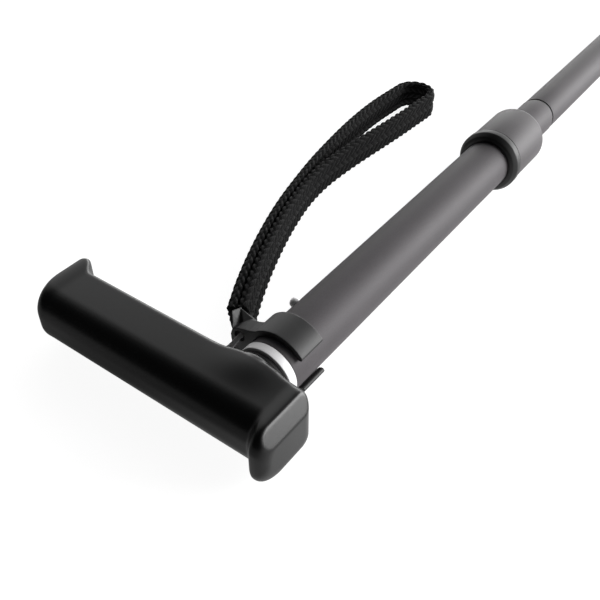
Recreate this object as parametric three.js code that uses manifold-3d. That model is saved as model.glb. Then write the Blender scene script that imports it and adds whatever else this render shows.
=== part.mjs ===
// Height-adjustable support cane with a T handle, lying on its side.
// Millimetres, +Z up. +X runs along the shaft from the handle to the tip,
// +Y is the side of the handle's long arm. Modelled with x = 0 at the end of
// the upper tube and the shaft's axis at y = 0, z = 0, then moved so that the
// origin is the middle of the underside of the whole object.
import * as THREE from 'three';
import { mergeVertices } from 'three/addons/utils/BufferGeometryUtils.js';
import Module from 'manifold-3d';

const wasm = await Module();
wasm.setup();

const GAP = 0.3; // clearance between touching pieces

// Shaft
const UPPER_R = 11; // outer radius of the upper tube
const UPPER_WALL = 1.2;
const UPPER_END = 172; // hidden inside the lock collar
const ADJUST_R = 9.2; // adjusting tube, seen as a short neck below the collar
const ADJUST_WALL = 1.2;
const ADJUST_TOP = 112;
const ADJUST_END = 222.4;
const LOWER_R = 9;
const LOWER_WALL = 1.2;
const SEAL_X = 222.7; // dark seal ring between the adjusting and the lower tube
const SEAL_T = 0.9;
const LOWER_START = 223.9;
const LOWER_END = 812;

// Silver ring and gasket between the handle and the upper tube
const RING_R = 11.3;
const RING_NEAR = -3.9;
const RING_FAR = -0.3;
const GASKET_NEAR = -5.9;
const GASKET_FAR = -4.2;

// Handle
const PALM_X = -31.3; // palm face
const UNDER_X = -8.2; // shaft-side face
const HALF_Z = 11; // half thickness
const LONG_Y = 87.2; // end of the long arm
const SHORT_Y = -24.3; // end of the short arm
const PALM_R = 9; // rounding between the top and the palm face
const UNDER_R = 2.2; // rounding on the shaft side
const BOSS_END = -6.2; // end of the boss around the shaft
const SHORT_ROUND = 4.2; // length of the rounding at the short end
const UNDER_ROUND = 5.8; // the same on the shaft side
const FACET_Y = -21.1; // where the facet on top of the short end starts
const FACET_SLOPE = 1.65; // how steeply it falls

// Lock collar
const COLLAR_BORE = 9.55;
const BLACK_NEAR = 164.5;
const BLACK_R = 14.8;
const COLLAR_R = 14.35;
const COLLAR_NEAR = 171.2;
const COLLAR_FAR = 199;

// Tip
const TIP_START = 786;
const TIP_END = 836;
const TIP_R = 14.8; // the same as the lock's black ring, so the cane lies level

// Clip
const CLIP_NEAR = 3.2;
const CLIP_FAR = 15.2;
const CLIP_IN = UPPER_R + GAP;
const CLIP_OUT = 13.4;
const ARM_FAR = 9.2; // the arm is narrower than the clip
const LIP_TOP = 141; // polar angle of the upper lip, from +Y towards +Z
const LIP_LOW = 211; // polar angle of the lower lip

// Split ring, hanging from the arm's eye
const EYE = [6.2, 16.4, 3.6];
const EYE_R = 2.3;
const SPLIT_R = 6.6; // mean radius
const SPLIT_WIRE = 0.8; // thickness of one turn
const SPLIT_LEAN = 67; // degrees its plane hangs down from +Y

// Strap
const STRAP_W = 13;
const STRAP_T = 3.3;
const FLOOR = -TIP_R;
const WAIST = [13.4, 25.2, -8.8]; // middle of the binding between the braid and the split ring
const WAIST_W = 3.1;
const WAIST_H = 2.5;

const root = new THREE.Group();
root.name = 'walking_cane';

// Turns a closed surface so that its faces point outwards.
function outward(geometry) {
  const g = mergeVertices(stripped(geometry), 1e-5);
  const p = g.attributes.position;
  const [a, b, c] = [new THREE.Vector3(), new THREE.Vector3(), new THREE.Vector3()];
  let volume = 0;
  for (let i = 0; i < g.index.count; i += 3) {
    a.fromBufferAttribute(p, g.index.getX(i));
    b.fromBufferAttribute(p, g.index.getX(i + 1));
    c.fromBufferAttribute(p, g.index.getX(i + 2));
    volume += a.dot(b.cross(c));
  }
  if (volume < 0) {
    g.setIndex(new THREE.BufferAttribute(g.index.array.reverse(), 1));
  }
  g.computeVertexNormals();
  return g;
}

function stripped(geometry) {
  const g = geometry.clone();
  g.deleteAttribute('normal');
  g.deleteAttribute('uv');
  return g;
}

function addMesh(name, rough, color, metalness = 0, roughness = 0.6) {
  const geometry = outward(rough);
  const material = new THREE.MeshStandardMaterial({ color, metalness, roughness });
  const mesh = new THREE.Mesh(geometry, material);
  mesh.name = name;
  root.add(mesh);
  return mesh;
}

function solid(geometry) {
  const m = outward(geometry);
  return new wasm.Manifold(
    new wasm.Mesh({
      numProp: 3,
      vertProperties: new Float32Array(m.attributes.position.array),
      triVerts: new Uint32Array(m.index.array),
    }),
  );
}

function toGeometry(manifold) {
  const mesh = manifold.getMesh();
  const g = new THREE.BufferGeometry();
  g.setAttribute('position', new THREE.BufferAttribute(mesh.vertProperties, 3));
  g.setIndex(new THREE.BufferAttribute(mesh.triVerts, 1));
  g.computeVertexNormals();
  return g;
}

// A body of revolution about the shaft. points = [[x, radius], ...]
function turned(points, segments = 48) {
  const list = points.map(([x, r]) => new THREE.Vector2(r, x));
  const g = new THREE.LatheGeometry(list, segments);
  g.rotateZ(-Math.PI / 2); // +Y of the lathe becomes +X
  return g;
}

function tube(x0, x1, outer, inner, segments = 48) {
  return turned([[x0, inner], [x1, inner], [x1, outer], [x0, outer], [x0, inner]], segments);
}

function smooth(t) {
  const u = Math.min(1, Math.max(0, t));
  return u * u * (3 - 2 * u);
}

// One cross-section of the handle in the x-z plane at a given y.
function handleRing(y) {
  const toLong = smooth((y - (LONG_Y - 10)) / 8);
  const toShort = smooth((-14.6 - y) / 5);
  let palm = PALM_X - 4 * toShort;
  let under = UNDER_X + 5.6 * toLong + 1.6 * Math.exp(-((y / 11) ** 4));
  let half = HALF_Z + 0.5 * toLong + 0.7 * toShort;
  const endLong = Math.max(0, (y - (LONG_Y - 7)) / 7);
  const endShort = Math.max(0, (SHORT_Y + SHORT_ROUND - y) / SHORT_ROUND);
  const roundLong = 1 - Math.sqrt(Math.max(0, 1 - endLong * endLong));
  const roundShort = 1 - Math.sqrt(Math.max(0, 1 - endShort * endShort));
  const endUnder = Math.max(0, (SHORT_Y + UNDER_ROUND - y) / UNDER_ROUND);
  const roundUnder = 1 - Math.sqrt(Math.max(0, 1 - endUnder * endUnder));
  palm += 8.5 * roundLong + 4.4 * roundShort;
  under -= 1.2 * roundLong + 5.2 * roundUnder;
  half -= 1.5 * roundLong + 4.6 * roundShort;
  const palmR = PALM_R - 1.5 * toShort;
  const underR = UNDER_R + 1.3 * toShort;
  const ring = [];
  const corners = [
    [under - underR, half - underR, underR, 0, 4],
    [palm + palmR, half - palmR, palmR, 90, 8],
    [palm + palmR, -half + palmR, palmR, 180, 8],
    [under - underR, -half + underR, underR, 270, 4],
  ];
  for (const [k, [cx, cz, r, start, steps]] of corners.entries()) {
    for (let i = 0; i <= steps; i += 1) {
      const a = THREE.MathUtils.degToRad(start + (90 * i) / steps);
      ring.push([cx + r * Math.cos(a), y, cz + r * Math.sin(a)]);
    }
    // More points along the flat top and underside
    for (let i = 1; i < 5 && k % 2 === 0; i += 1) {
      ring.push([cx + ((corners[k + 1][0] - cx) * i) / 5, y, k === 0 ? half : -half]);
    }
  }
  // The body swells a little around the shaft
  for (const p of ring) {
    const near = smooth((p[0] - (UNDER_X - 15)) / 13) * Math.exp(-((y / 10.5) ** 2));
    p[2] *= 1 + 0.115 * near;
    p[2] = Math.min(p[2], 11.6 - FACET_SLOPE * Math.max(0, FACET_Y - y));
  }
  return ring;
}

function loft(rings) {
  const n = rings[0].length;
  const position = [];
  const index = [];
  for (const ring of rings) {
    for (const p of ring) {
      position.push(...p);
    }
  }
  for (let i = 0; i + 1 < rings.length; i += 1) {
    for (let j = 0; j < n; j += 1) {
      const a = i * n + j;
      const b = i * n + ((j + 1) % n);
      index.push(a, a + n, b, b, a + n, b + n);
    }
  }
  for (const [row, turn] of [[0, -1], [rings.length - 1, 1]]) {
    const middle = position.length / 3;
    const mean = [0, 1, 2].map((k) => rings[row].reduce((s, p) => s + p[k], 0) / n);
    position.push(...mean);
    for (let j = 0; j < n; j += 1) {
      const a = row * n + j;
      const b = row * n + ((j + 1) % n);
      if (turn > 0) {
        index.push(b, a, middle);
      } else {
        index.push(a, b, middle);
      }
    }
  }
  const g = new THREE.BufferGeometry();
  g.setAttribute('position', new THREE.Float32BufferAttribute(position, 3));
  g.setIndex(index);
  return g;
}

function makeHandle() {
  const stations = [];
  for (let i = 0; i <= 6; i += 1) {
    stations.push(SHORT_Y + SHORT_ROUND * (1 - Math.cos((i * Math.PI) / 12)));
  }
  stations.push(FACET_Y);
  stations.sort((a, b) => a - b);
  stations.push(-19.4, -18.5, -17.4, -16.4, -15.2, -14, -12, -10, -8, -5, -2, 1, 4, 7, 9, 11, 14, 20, 34, 50, 66);
  for (let y = LONG_Y - 10.5; y < LONG_Y - 7.5; y += 1.4) {
    stations.push(y);
  }
  for (let i = 6; i >= 0; i -= 1) {
    stations.push(LONG_Y - 7 * (1 - Math.cos((i * Math.PI) / 12)));
  }
  return solid(loft(stations.map(handleRing)));
}

const boss = solid(
  turned([[-22, 0], [-22, 9], [-14, 11.2], [-9.4, 12.2], [-7.1, 12.1], [BOSS_END, 11.4], [BOSS_END, 0]]),
);
const STUD_R = 4;
const INSERT_R = 6.2;
const insertHole = solid(turned([[-26.3, 0], [-26.3, INSERT_R + GAP], [-3, INSERT_R + GAP], [-3, 0]], 32));
const handle = makeHandle().add(boss).subtract(insertHole);
addMesh('handle_grip', toGeometry(handle), 0x1c1c1e, 0, 0.45);

// Threaded insert moulded into the grip, and the stud that holds the shaft
addMesh('handle_insert', tube(-26, BOSS_END - 0.3, INSERT_R, STUD_R + GAP, 32), 0xb08d4f, 1, 0.4);
addMesh(
  'handle_stud',
  turned([[-25, 0], [-25, STUD_R - 0.6], [-24.4, STUD_R], [16.4, STUD_R], [17, STUD_R - 0.6], [17, 0]], 32),
  0x9a9a9e,
  1,
  0.35,
);
addMesh('neck_gasket', tube(GASKET_NEAR, GASKET_FAR, 10.4, STUD_R + GAP), 0x101011, 0, 0.8);
addMesh('neck_ring', turned([
  [RING_NEAR, STUD_R + GAP], [RING_FAR, STUD_R + GAP], [RING_FAR, RING_R - 0.2], [RING_FAR - 0.2, RING_R],
  [RING_NEAR + 0.4, RING_R], [RING_NEAR, RING_R - 0.4], [RING_NEAR, STUD_R + GAP],
]), 0xd9d8da, 1, 0.4);

// Plug pressed into the upper tube, which the stud screws into
const UPPER_IN = UPPER_R - UPPER_WALL;
addMesh('tube_plug', tube(1, 18, UPPER_IN - GAP, STUD_R + GAP, 40), 0x8c8c90, 1, 0.5);

// Spring snap button in the side of the upper tube
const BUTTON_X = 27;
const BUTTON_ANGLE = 30; // from +Y towards +Z
const BUTTON_R = 2.1;
const BUTTON_TIP = 13.3;

// Turns geometry made along +Y (radial) so that it points out at an angle.
function aim(geometry, x, angle) {
  geometry.rotateX(THREE.MathUtils.degToRad(angle));
  geometry.translate(x, 0, 0);
  return geometry;
}

function radialPin(points, segments = 24) {
  return new THREE.LatheGeometry(points.map(([rho, r]) => new THREE.Vector2(r, rho)), segments);
}

const upperBlank = solid(turned([
  [0, UPPER_IN], [UPPER_END, UPPER_IN], [UPPER_END, UPPER_R], [0.3, UPPER_R], [0, UPPER_R - 0.3], [0, UPPER_IN],
], 64));
const buttonBore = radialPin([[6, 0], [6, BUTTON_R + GAP], [14, BUTTON_R + GAP], [14, 0]]);
const buttonHole = solid(aim(buttonBore, BUTTON_X, BUTTON_ANGLE));
addMesh('upper_tube', toGeometry(upperBlank.subtract(buttonHole)), 0x77736f, 0.7, 0.5);

const domePoints = [[7.6, 0], [7.6, 3], [8.8, 3], [8.8, BUTTON_R], [BUTTON_TIP - 1.7, BUTTON_R]];
for (let i = 1; i <= 4; i += 1) {
  const a = (i * Math.PI) / 8;
  domePoints.push([BUTTON_TIP - 1.7 + 1.7 * Math.sin(a), i === 4 ? 0 : BUTTON_R * Math.cos(a)]);
}
addMesh('snap_button', aim(radialPin(domePoints), BUTTON_X, BUTTON_ANGLE), 0xc8c8cc, 1, 0.25);

// V-shaped leaf spring behind the button
function leafSpring() {
  const half = 2.3;
  const t = 0.5;
  const out = [
    [23.6, 7.2], [29, 7.2], [33, 5.6], [46, -1], [46.8, -2.4], [45.5, -3.6], [31, -8.6], [27, -9.2],
  ];
  const shape = new THREE.Shape();
  const side = (k) => {
    const a = out[Math.max(0, k - 1)];
    const b = out[Math.min(out.length - 1, k + 1)];
    const d = new THREE.Vector2(b[0] - a[0], b[1] - a[1]).normalize();
    return [out[k][0] + d.y * t, out[k][1] - d.x * t];
  };
  out.forEach(([x, y], k) => (k ? shape.lineTo(x, y) : shape.moveTo(x, y)));
  for (let k = out.length - 1; k >= 0; k -= 1) {
    shape.lineTo(...side(k));
  }
  shape.closePath();
  const g = new THREE.ExtrudeGeometry(shape, { depth: 2 * half, bevelEnabled: false });
  g.translate(0, 0, -half);
  return aim(g, 0, BUTTON_ANGLE);
}
addMesh('button_spring', leafSpring(), 0xa7a9ac, 1, 0.35);

// Clip: a C around the tube with an arm and a horn on the long-arm side
function polar(r, degrees) {
  const a = THREE.MathUtils.degToRad(degrees);
  return [r * Math.cos(a), r * Math.sin(a)];
}

// Extrudes a closed outline given in (y, z) along the shaft.
function alongShaft(outline, x0, x1) {
  const shape = new THREE.Shape(outline.map(([y, z]) => new THREE.Vector2(y, z)));
  const g = new THREE.ExtrudeGeometry(shape, { depth: x1 - x0, bevelEnabled: false });
  g.applyMatrix4(new THREE.Matrix4().set(0, 0, 1, x0, 1, 0, 0, 0, 0, 1, 0, 0, 0, 0, 0, 1));
  return g;
}

function clipOutline() {
  const points = [];
  for (let i = 0; i <= 40; i += 1) {
    points.push(polar(CLIP_OUT, LIP_LOW - 360 + ((LIP_TOP - LIP_LOW + 360) * i) / 40));
  }
  for (let i = 0; i <= 40; i += 1) {
    points.push(polar(CLIP_IN, LIP_TOP - ((LIP_TOP - LIP_LOW + 360) * i) / 40));
  }
  return points;
}

function bead(angle, r, radius) {
  const g = new THREE.CylinderGeometry(radius, radius, CLIP_FAR - CLIP_NEAR, 16);
  g.rotateZ(-Math.PI / 2);
  const [y, z] = polar(r, angle);
  g.translate((CLIP_NEAR + CLIP_FAR) / 2, y, z);
  return solid(g);
}

const clipRing = solid(alongShaft(clipOutline(), CLIP_NEAR, CLIP_FAR));
const armOutline = [
  [9, 9.85], [10.4, 9.2], [12, 8.5], [14.5, 7.9], [17.7, 6.8], [19.8, 5.1], [20.6, 2.4], [20.2, -2],
  [18, -4.6], [14, -6], [9, -7.5],
];
const arm = solid(alongShaft(armOutline, CLIP_NEAR, ARM_FAR));
// The arm's end turns up into a wall that faces the shaft, with a ramp beside it
const wallFace = [
  [7.2, 22.8, 9.2], [11.5, 22.2, 8], [10.9, 21.4, 7], [7, 19, 5.4], [3.4, 19, 5.4], [3.2, 18.9, 5.2],
  [3.2, 19.4, 6],
];
const wall = wasm.Manifold.hull([...wallFace, ...wallFace.map(([x, y, z]) => [x + 1.1, y + 0.8, z - 1.2])]);
const ramp = wasm.Manifold.hull([
  [7.4, 19.6, 4.7], [10.8, 21.2, 7.1], [11.2, 21.9, 8], [10.2, 14, 7.2], [9.2, 13.2, 7.4], [10, 20.6, 3],
  [9.2, 14, 4], [4.2, 20, 3], [5, 15.5, 6.4], [9.7, 14.5, 3.6],
]);
const horn = wall.add(ramp);
const tubeRoom = solid(turned([[-5, 0], [-5, CLIP_IN], [30, CLIP_IN], [30, 0]], 64));
const eye = new THREE.CylinderGeometry(EYE_R, EYE_R, 12, 20);
eye.rotateZ(-Math.PI / 2);
eye.translate(...EYE);
const clip = clipRing.add(bead(LIP_LOW, 12.55, 1)).add(bead(LIP_TOP, 12.35, 1.05)).add(arm).add(horn)
  .subtract(tubeRoom).subtract(solid(eye));
addMesh('strap_clip', toGeometry(clip), 0x3a3a3c, 0, 0.5);

// Split ring: flat-wound wire, modelled as one closed ring of three turns
function splitRing() {
  const w = SPLIT_WIRE;
  const h = 3 * SPLIT_WIRE;
  const profile = [];
  for (let k = 0; k < 3; k += 1) {
    const c = -h / 2 + w * (k + 0.5);
    const out = SPLIT_R + w * 0.5;
    profile.push([SPLIT_R + w * 0.32, c - w * 0.5], [out, c - w * 0.2], [out, c + w * 0.2]);
  }
  profile.push([SPLIT_R + w * 0.32, h / 2]);
  const inner = profile.map(([r, z]) => [2 * SPLIT_R - r, z]).reverse();
  const all = [...profile, ...inner, profile[0]];
  const g = new THREE.LatheGeometry(all.map(([r, z]) => new THREE.Vector2(r, z)), 48);
  return hangRing(g);
}

// Turns a body of revolution about +Y so that it hangs from the eye.
function hangRing(g) {
  const lean = THREE.MathUtils.degToRad(SPLIT_LEAN);
  g.rotateX(Math.PI / 2 - lean);
  g.translate(EYE[0], EYE[1] + SPLIT_R * Math.cos(lean), EYE[2] - SPLIT_R * Math.sin(lean));
  return g;
}
addMesh('split_ring', splitRing(), 0xd0d0d4, 1, 0.2);

// Lock: a black ring fixed on the upper tube and a collar that turns to clamp
addMesh('lock_ring', turned([
  [BLACK_NEAR, UPPER_R + GAP], [COLLAR_NEAR - GAP, UPPER_R + GAP], [COLLAR_NEAR - GAP, COLLAR_R - 0.2],
  [COLLAR_NEAR - 0.8, BLACK_R], [BLACK_NEAR + 2.6, BLACK_R], [BLACK_NEAR + 1.2, BLACK_R - 0.5],
  [BLACK_NEAR + 0.3, BLACK_R - 1.6], [BLACK_NEAR, BLACK_R - 2.6], [BLACK_NEAR, UPPER_R + GAP],
]), 0x111112, 0, 0.6);

const shoulder = [];
for (let i = 0; i <= 6; i += 1) {
  const a = (i * Math.PI) / 12;
  shoulder.push([COLLAR_FAR - 5.5 + 5.5 * Math.sin(a), COLLAR_R - 4.6 + 4.6 * Math.cos(a)]);
}
addMesh('lock_collar', turned([
  [COLLAR_NEAR, UPPER_R + GAP], [UPPER_END + GAP, UPPER_R + GAP], [UPPER_END + 16.3, UPPER_R + GAP],
  [UPPER_END + 19.3, COLLAR_BORE], [COLLAR_FAR, COLLAR_BORE], ...shoulder.reverse(),
  [COLLAR_NEAR + 0.4, COLLAR_R], [COLLAR_NEAR, COLLAR_R - 0.4], [COLLAR_NEAR, UPPER_R + GAP],
]), 0x6f6b6c, 0.6, 0.5);

// Split collet squeezed by the collar onto the adjusting tube
const COLLET_IN = ADJUST_R + GAP;
const colletBody = solid(turned([
  [UPPER_END + 0.4, COLLET_IN], [UPPER_END + 18.2, COLLET_IN], [UPPER_END + 18.5, COLLET_IN + 0.5],
  [UPPER_END + 16, UPPER_R - 0.1], [UPPER_END + 0.4, UPPER_R - 0.1], [UPPER_END + 0.4, COLLET_IN],
]));
const slot = new THREE.BoxGeometry(24, 1.4, 16);
slot.translate(UPPER_END + 10, 0, -8);
addMesh('lock_collet', toGeometry(colletBody.subtract(solid(slot))), 0xd8d8d4, 0, 0.6);

// Adjusting tube with its guide bush, joined to the lower tube by a spigot
const ADJUST_IN = ADJUST_R - ADJUST_WALL;
const LOWER_IN = LOWER_R - LOWER_WALL;
addMesh('adjusting_tube', tube(ADJUST_TOP, ADJUST_END, ADJUST_R, ADJUST_IN), 0x77736f, 0.7, 0.5);
addMesh('guide_bush', turned([
  [ADJUST_TOP - 4.3, 0], [ADJUST_TOP - 4.3, 8.6], [ADJUST_TOP - 3.3, UPPER_IN - GAP],
  [ADJUST_TOP - GAP, UPPER_IN - GAP],
  [ADJUST_TOP - GAP, ADJUST_IN - GAP], [ADJUST_TOP + 14, ADJUST_IN - GAP], [ADJUST_TOP + 14, 0],
]), 0xe4e4e0, 0, 0.6);
const SPIGOT_R = Math.min(ADJUST_IN, LOWER_IN) - GAP;
addMesh('joint_seal', tube(SEAL_X, SEAL_X + SEAL_T, LOWER_R - 0.25, SPIGOT_R + GAP), 0x2a2b2c, 0, 0.7);
addMesh('joint_spigot', tube(SEAL_X - 22, SEAL_X + 24, SPIGOT_R, SPIGOT_R - 1.5, 40), 0x9a9a9c, 1, 0.5);
addMesh('lower_tube', tube(LOWER_START, LOWER_END, LOWER_R, LOWER_IN), 0x77736f, 0.7, 0.5);
addMesh('tube_end_plug', turned([
  [LOWER_END - 14, 0], [LOWER_END - 14, LOWER_IN - GAP], [LOWER_END + GAP, LOWER_IN - GAP],
  [LOWER_END + GAP, LOWER_R], [LOWER_END + 1.8, LOWER_R], [LOWER_END + 1.8, 0],
]), 0x1a1a1b, 0, 0.6);

// Rubber tip with ribs and a steel washer under the tube's end
const tipIn = LOWER_R + GAP;
const washerX = LOWER_END + 2.1;
const washer = turned([[washerX, 0], [washerX, LOWER_R], [washerX + 1.6, LOWER_R], [washerX + 1.6, 0]]);
addMesh('tip_washer', washer, 0xa0a0a4, 1, 0.4);
addMesh('rubber_tip', turned([
  [TIP_START, tipIn], [washerX + 1.9, tipIn], [washerX + 1.9, 0], [TIP_END - 2.5, 0], [TIP_END - 2.5, 6],
  [TIP_END, 7], [TIP_END, TIP_R - 1], [TIP_END - 1, TIP_R], [TIP_END - 9, TIP_R], [TIP_END - 13, 12.6],
  [TIP_END - 15, 12.6], [TIP_END - 16, 13.2], [TIP_END - 18, 13.2], [TIP_END - 19, 12.3],
  [TIP_START + 3, 11.4], [TIP_START, 11], [TIP_START, tipIn],
]), 0x1b1b1c, 0, 0.85);

// Strap: a loop of flat braid. Its two strands lie on the floor against each
// other, leaning near the clip and standing on edge at the far loop.
// STRAP_LINE is the middle line between the strands, seen from above.
const STRAP_LINE = [
  [18.4, 29.3], [24.8, 32.7], [31.4, 36.2], [46, 43], [61, 49.2], [81, 56.3], [102, 62.1], [121, 65.6],
  [140, 67.3], [158, 68.1], [176, 68.3], [196, 67.9], [214.3, 67],
];
const linePoints = STRAP_LINE.map(([x, y]) => new THREE.Vector3(x, y, 0));
const middle = new THREE.CatmullRomCurve3(linePoints, false, 'centripetal');
const LEAN_START = 80; // degrees from flat
const SPREAD = 7.1; // extra half distance between the strands at the far loop

// Middle of the pair and the directions of the braid's width and thickness.
function strapFrame(t) {
  const p = middle.getPointAt(t);
  const d = middle.getTangentAt(t);
  const across = new THREE.Vector3(-d.y, d.x, 0);
  const up = new THREE.Vector3(0, 0, 1);
  const lean = LEAN_START + (90 - LEAN_START) * Math.sqrt(smooth(t / 0.85));
  const a = THREE.MathUtils.degToRad(lean);
  const wide = across.clone().multiplyScalar(Math.cos(a)).addScaledVector(up, Math.sin(a));
  const thin = across.clone().multiplyScalar(Math.sin(a)).addScaledVector(up, -Math.cos(a));
  const apart = 2.2 + SPREAD * smooth((t - 0.42) / 0.5);
  p.z = FLOOR + 0.1 + (STRAP_W / 2) * Math.sin(a) + (apart + STRAP_T / 2) * Math.cos(a);
  return { p, wide, thin, d, apart };
}

function strapRing(c, wide, thin) {
  const w = STRAP_W / 2;
  const h = STRAP_T / 2;
  const list = [[w, 0], [w - 0.6, h * 0.8], [w - 2.2, h], [2.2 - w, h], [0.6 - w, h * 0.8], [-w, 0],
    [0.6 - w, -h * 0.8], [2.2 - w, -h], [w - 2.2, -h], [w - 0.6, -h * 0.8]];
  return list.map(([a, b]) => c.clone().addScaledVector(wide, a).addScaledVector(thin, b).toArray());
}

function strap() {
  const rings = [];
  const count = 24;
  for (let i = 0; i <= count; i += 1) {
    const f = strapFrame(i / count);
    rings.push(strapRing(f.p.clone().addScaledVector(f.thin, -f.apart), f.wide, f.thin));
  }
  // Half turn at the far end
  const end = strapFrame(1);
  for (let i = 1; i < 9; i += 1) {
    const q = (i * Math.PI) / 9;
    const out = end.thin.clone().multiplyScalar(-Math.cos(q)).addScaledVector(end.d, Math.sin(q));
    const c = end.p.clone().addScaledVector(out, end.apart);
    rings.push(strapRing(c, end.wide, out.multiplyScalar(-1)));
  }
  for (let i = count; i >= 0; i -= 1) {
    const f = strapFrame(i / count);
    const thin = f.thin.clone().multiplyScalar(-1);
    rings.push(strapRing(f.p.clone().addScaledVector(f.thin, f.apart), f.wide, thin));
  }
  return loft(rings);
}
addMesh('wrist_strap', strap(), 0x0e0f10, 0, 0.9);

// Bound fold that joins both ends of the braid around the split ring
function strapEnd() {
  const lean = THREE.MathUtils.degToRad(SPLIT_LEAN);
  const ringY = EYE[1] + 2 * SPLIT_R * Math.cos(lean);
  const ringZ = EYE[2] - 2 * SPLIT_R * Math.sin(lean);
  const fold = [];
  for (const x of [EYE[0] - 3.4, EYE[0] + 3.4]) {
    for (let i = 0; i < 16; i += 1) {
      const [y, z] = polar(3.1, (360 * i) / 16);
      fold.push([x, ringY + y, ringZ + z]);
    }
  }
  const f = strapFrame(0);
  const section = (c, w, h) => [
    [w, h - 1], [w - 1, h], [1 - w, h], [-w, h - 1], [-w, 1 - h], [1 - w, -h], [w - 1, -h], [w, 1 - h],
  ].map(([a, b]) => c.clone().addScaledVector(f.wide, a).addScaledVector(f.thin, b).toArray());
  const start = section(f.p.clone().addScaledVector(f.d, -0.35), STRAP_W / 2 - 0.5, f.apart + STRAP_T / 2 - 0.2);
  const waist = section(new THREE.Vector3(...WAIST), WAIST_W, WAIST_H);
  // Room for the split ring's wire
  const [near, far, tall] = [SPLIT_R - 0.8, SPLIT_R + 0.8, 1.6];
  const channel = [[near, -tall], [far, -tall], [far, tall], [near, tall], [near, -tall]];
  const room = hangRing(new THREE.LatheGeometry(channel.map(([r, z]) => new THREE.Vector2(r, z)), 48));
  const inner = section(new THREE.Vector3(...WAIST).addScaledVector(f.d, 0.6), WAIST_W - 0.2, WAIST_H - 0.2);
  const body = wasm.Manifold.hull([...start, ...waist]).add(wasm.Manifold.hull([...inner, ...fold]));
  return toGeometry(body.subtract(solid(room)));
}
addMesh('strap_end', strapEnd(), 0x121213, 0, 0.9);

root.updateMatrixWorld(true);
const size = new THREE.Box3().setFromObject(root);
const shift = new THREE.Vector3(-(size.min.x + size.max.x) / 2, -(size.min.y + size.max.y) / 2, -size.min.z);
root.position.copy(shift);
root.userData.shift = shift.toArray();

export default root;
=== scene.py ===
"""Height-adjustable support cane with a T handle and a braided wrist strap, lying on its side.

Every piece is built in the CAD's local frame, in millimetres: x = 0 at the end of the upper tube, +X along the
shaft towards the tip, y = z = 0 on the shaft's axis. at() moves points from there to the row frame, in metres.
"""

import math

import bmesh
import bpy
import numpy as np
from mathutils import Matrix, Vector


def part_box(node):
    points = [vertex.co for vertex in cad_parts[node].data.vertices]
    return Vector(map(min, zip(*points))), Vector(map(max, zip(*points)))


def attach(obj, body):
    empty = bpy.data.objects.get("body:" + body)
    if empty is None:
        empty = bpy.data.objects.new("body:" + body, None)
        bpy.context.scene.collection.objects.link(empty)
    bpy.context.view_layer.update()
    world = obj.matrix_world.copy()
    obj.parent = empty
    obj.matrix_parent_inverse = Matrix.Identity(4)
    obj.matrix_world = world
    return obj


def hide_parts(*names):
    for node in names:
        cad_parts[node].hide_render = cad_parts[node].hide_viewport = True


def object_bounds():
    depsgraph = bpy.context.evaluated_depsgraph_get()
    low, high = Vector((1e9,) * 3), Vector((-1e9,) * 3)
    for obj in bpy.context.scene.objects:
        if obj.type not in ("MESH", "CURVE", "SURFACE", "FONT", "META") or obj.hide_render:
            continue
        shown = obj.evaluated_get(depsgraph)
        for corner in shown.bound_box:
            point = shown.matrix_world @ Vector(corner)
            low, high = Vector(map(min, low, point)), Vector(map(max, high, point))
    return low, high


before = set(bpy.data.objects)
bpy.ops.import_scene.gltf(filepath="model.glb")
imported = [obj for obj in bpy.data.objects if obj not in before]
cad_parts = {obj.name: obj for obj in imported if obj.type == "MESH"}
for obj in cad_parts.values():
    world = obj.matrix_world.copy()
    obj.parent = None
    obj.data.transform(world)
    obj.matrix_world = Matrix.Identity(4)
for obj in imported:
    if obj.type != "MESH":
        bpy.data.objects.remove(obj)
CAD_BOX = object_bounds()

MM = 0.001
_low, _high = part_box("upper_tube")
ORIGIN = np.array([_low.x, (_low.y + _high.y) / 2, (_low.z + _high.z) / 2])


def at(points):
    """Local millimetres to the row frame in metres."""
    return ORIGIN + np.asarray(points, float) * MM


def smooth(t):
    u = np.clip(t, 0, 1)
    return u * u * (3 - 2 * u)


# ---------------------------------------------------------------- camera
CAMERA_AT = Vector(at((-138.0, -113.4, 187.6)))
CAMERA_RIGHT = Vector((0.5916, -0.8062, 0)).normalized()
CAMERA_LOOK = Vector((0.6060, 0.4447, -0.6595)).normalized()
LENS, SENSOR = 45.48, 36

camera_data = bpy.data.cameras.new("camera")
camera_data.lens = LENS
camera_data.sensor_width = SENSOR
camera_data.clip_start = 0.01
camera_data.clip_end = 100
camera = bpy.data.objects.new("camera", camera_data)
bpy.context.scene.collection.objects.link(camera)
_up = CAMERA_RIGHT.cross(CAMERA_LOOK)
camera.matrix_world = Matrix.Translation(CAMERA_AT) @ Matrix((CAMERA_RIGHT, _up, -CAMERA_LOOK)).transposed().to_4x4()
bpy.context.scene.camera = camera
bpy.context.view_layer.update()


# ---------------------------------------------------------------- materials
def node_tree(name):
    material = bpy.data.materials.new(name)
    material.use_nodes = True
    tree = material.node_tree
    shader = next(n for n in tree.nodes if n.type == "BSDF_PRINCIPLED")
    return material, tree, shader


def add(tree, kind, **settings):
    node = tree.nodes.new(kind)
    for key, value in settings.items():
        if key in node.inputs:
            node.inputs[key].default_value = value
        else:
            setattr(node, key, value)
    return node


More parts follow.
